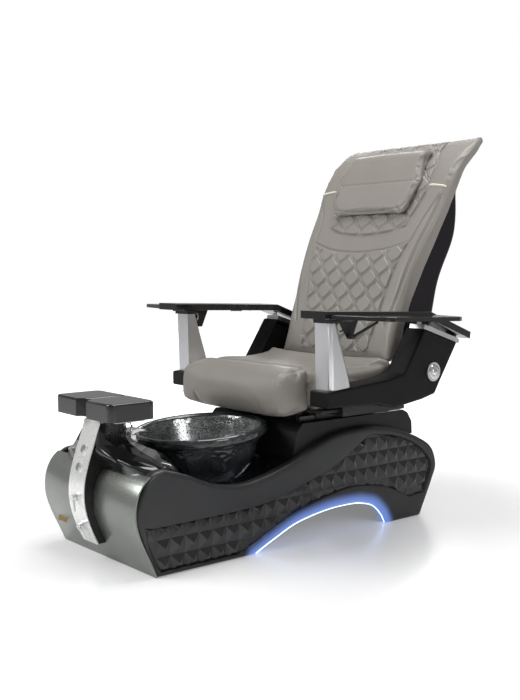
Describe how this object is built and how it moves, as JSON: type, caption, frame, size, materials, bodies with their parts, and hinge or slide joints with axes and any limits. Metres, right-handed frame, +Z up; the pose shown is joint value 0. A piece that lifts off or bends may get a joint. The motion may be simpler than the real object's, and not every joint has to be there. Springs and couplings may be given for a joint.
{
  "type": "pedicure spa chair",
  "caption": "Pedicure spa chair: foot bath base with bowl, control column and footrest, sliding reclining seat, lift-up armrests and fold-down trays",
  "frame": {"origin": "on the floor under the middle of the chair's bounding box", "axes": "+Z up, the sitter faces -Y, the sitter's left is +X"},
  "size_m": [1.4342, 1.7044, 1.501],
  "materials": {
    "charcoal_panel": "satin moulded",
    "charcoal_inlay": "semi-gloss faceted",
    "pewter_metal": "satin metallic",
    "black_gloss": "gloss",
    "black_matte": "matte moulded",
    "shell_black": "satin moulded",
    "chrome": "polished",
    "satin_aluminium": "satin",
    "steel": "machined",
    "frame_paint": "powder coat",
    "leather": "soft pebbled",
    "lamp": "translucent light strip",
    "bowl_resin": "speckled gloss",
    "rubber": "matte",
    "plywood": "plain"
  },
  "bodies": {
    "base": {"base_frame": "frame_paint", "levelling_feet": "rubber", "front_drum": "pewter_metal", "tub_deck": "black_matte", "rear_cover": "black_matte", "mains_inlet": "black_matte", "plinth_cover": "black_gloss", "panel_inlays": "charcoal_inlay", "led_strips": "lamp", "column_faceplate": "chrome", "column_casing": "black_gloss", "column_sleeve": "steel", "foot_bowl": "bowl_resin", "bowl_drain": "chrome", "bowl_spout": "chrome", "jet_motor": "steel", "drain_pump": "black_matte", "water_hoses": "rubber", "mixing_valve": "steel", "control_box": "black_matte", "slide_rails": "steel", "slide_motor": "steel", "side_panel_left": "charcoal_panel", "side_panel_right": "charcoal_panel"},
    "jet_button": {"jet_button": "chrome"},
    "drain_button": {"drain_button": "chrome"},
    "hot_lever": {"hot_lever": "chrome"},
    "cold_lever": {"cold_lever": "chrome"},
    "footrest": {"footrest_mast": "steel", "footrest_pad_left": "black_gloss", "footrest_pad_right": "black_gloss"},
    "footrest_latch": {"footrest_latch": "black_gloss"},
    "carriage": {"carriage_frame": "frame_paint", "seat_pan": "plywood", "seat_cushion": "leather", "pivot_caps": "chrome", "post_caps": "black_gloss", "rear_mounts": "satin_aluminium", "recline_actuator": "steel", "arm_shell_left": "black_matte", "arm_shell_right": "black_matte", "arm_post_left": "satin_aluminium", "arm_post_right": "satin_aluminium"},
    "backrest": {"back_frame": "frame_paint", "back_shell": "shell_black", "back_cushion": "leather", "head_pillow": "leather"},
    "massage_unit": {"massage_unit": "steel"},
    "massage_rollers": {"massage_rollers": "steel"},
    "recline_rod": {"recline_rod": "steel"},
    "armrest_left": {"armrest_left": "black_gloss", "tray_bracket_left": "frame_paint"},
    "tray_left": {"tray_left": "black_gloss"},
    "tray_stay_left": {"tray_stay_left": "frame_paint"},
    "tray_ring_left": {"tray_ring_left": "frame_paint"},
    "armrest_right": {"armrest_right": "black_gloss", "tray_bracket_right": "frame_paint"},
    "tray_right": {"tray_right": "black_gloss"},
    "tray_stay_right": {"tray_stay_right": "frame_paint"},
    "tray_ring_right": {"tray_ring_right": "frame_paint"}
  },
  "joints": [
    {"name": "seat_slide", "type": "slide", "parent": "base", "child": "carriage", "axis": [0, 1, 0], "range_m": [-0.1, 0.06]},
    {"name": "back_recline", "type": "hinge", "parent": "carriage", "child": "backrest", "pos_m": [0, 0.406, 0.596], "axis": [-1, 0, 0], "range_deg": [0, 25]},
    {"name": "recline_push", "type": "slide", "parent": "carriage", "child": "recline_rod", "axis": [0, -1, 0], "range_m": [0, 0.0705]},
    {"name": "massage_travel", "type": "slide", "parent": "backrest", "child": "massage_unit", "axis": [0, 0.387, 0.9221], "range_m": [0, 0.19]},
    {"name": "roller_spin", "type": "hinge", "parent": "massage_unit", "child": "massage_rollers", "pos_m": [0, 0.5474, 0.94616], "axis": [1, 0, 0], "continuous": true},
    {"name": "armrest_lift_left", "type": "hinge", "parent": "carriage", "child": "armrest_left", "pos_m": [0.414, 0.558, 0.703], "axis": [-1, 0, 0], "range_deg": [0, 80]},
    {"name": "tray_fold_left", "type": "hinge", "parent": "armrest_left", "child": "tray_left", "pos_m": [0.4915, 0.07978, 0.79984], "axis": [0, 0.9995, -0.0307], "range_deg": [0, 90]},
    {"name": "stay_swing_left", "type": "hinge", "parent": "armrest_left", "child": "tray_stay_left", "pos_m": [0.455, -0.00495, 0.74491], "axis": [0, 0.9995, -0.0307], "range_deg": [0, 112.5]},
    {"name": "ring_swing_left", "type": "hinge", "parent": "armrest_left", "child": "tray_ring_left", "pos_m": [0.425, -0.03925, 0.80099], "axis": [0, 0.9995, -0.0307], "range_deg": [-5, 25]},
    {"name": "armrest_lift_right", "type": "hinge", "parent": "carriage", "child": "armrest_right", "pos_m": [-0.414, 0.558, 0.703], "axis": [-1, 0, 0], "range_deg": [0, 80]},
    {"name": "tray_fold_right", "type": "hinge", "parent": "armrest_right", "child": "tray_right", "pos_m": [-0.4915, 0.07978, 0.79984], "axis": [0, -0.9995, 0.0307], "range_deg": [0, 90]},
    {"name": "stay_swing_right", "type": "hinge", "parent": "armrest_right", "child": "tray_stay_right", "pos_m": [-0.455, -0.00495, 0.74491], "axis": [0, -0.9995, 0.0307], "range_deg": [0, 112.5]},
    {"name": "ring_swing_right", "type": "hinge", "parent": "armrest_right", "child": "tray_ring_right", "pos_m": [-0.425, -0.03925, 0.80099], "axis": [0, 0.9995, -0.0307], "range_deg": [-25, 5]},
    {"name": "footrest_lift", "type": "slide", "parent": "base", "child": "footrest", "axis": [0, 0, 1], "range_m": [0, 0.09]},
    {"name": "latch_pull", "type": "hinge", "parent": "footrest", "child": "footrest_latch", "pos_m": [0.06, -0.648, 0.483], "axis": [1, 0, 0], "range_deg": [0, 6], "stiffness_Nm_per_rad": 1.5},
    {"name": "jet_button_press", "type": "slide", "parent": "base", "child": "jet_button", "axis": [0, 0.9401, -0.341], "range_m": [0, 0.004], "stiffness_N_per_m": 400},
    {"name": "drain_button_press", "type": "slide", "parent": "base", "child": "drain_button", "axis": [0, 0.9606, -0.2779], "range_m": [0, 0.004], "stiffness_N_per_m": 400},
    {"name": "hot_lever_turn", "type": "hinge", "parent": "base", "child": "hot_lever", "pos_m": [0, -0.83288, 0.227], "axis": [0, -0.9988, -0.0481], "range_deg": [0, 90]},
    {"name": "cold_lever_turn", "type": "hinge", "parent": "base", "child": "cold_lever", "pos_m": [0, -0.80961, 0.129], "axis": [0, -0.9304, -0.3667], "range_deg": [0, 90]}
  ],
  "couplings": [
    {"joint": "recline_push", "follows": "back_recline", "m_per_rad": 0.15997},
    {"joint": "stay_swing_left", "follows": "tray_fold_left", "ratio": 1.25},
    {"joint": "stay_swing_right", "follows": "tray_fold_right", "ratio": 1.25}
  ]
}
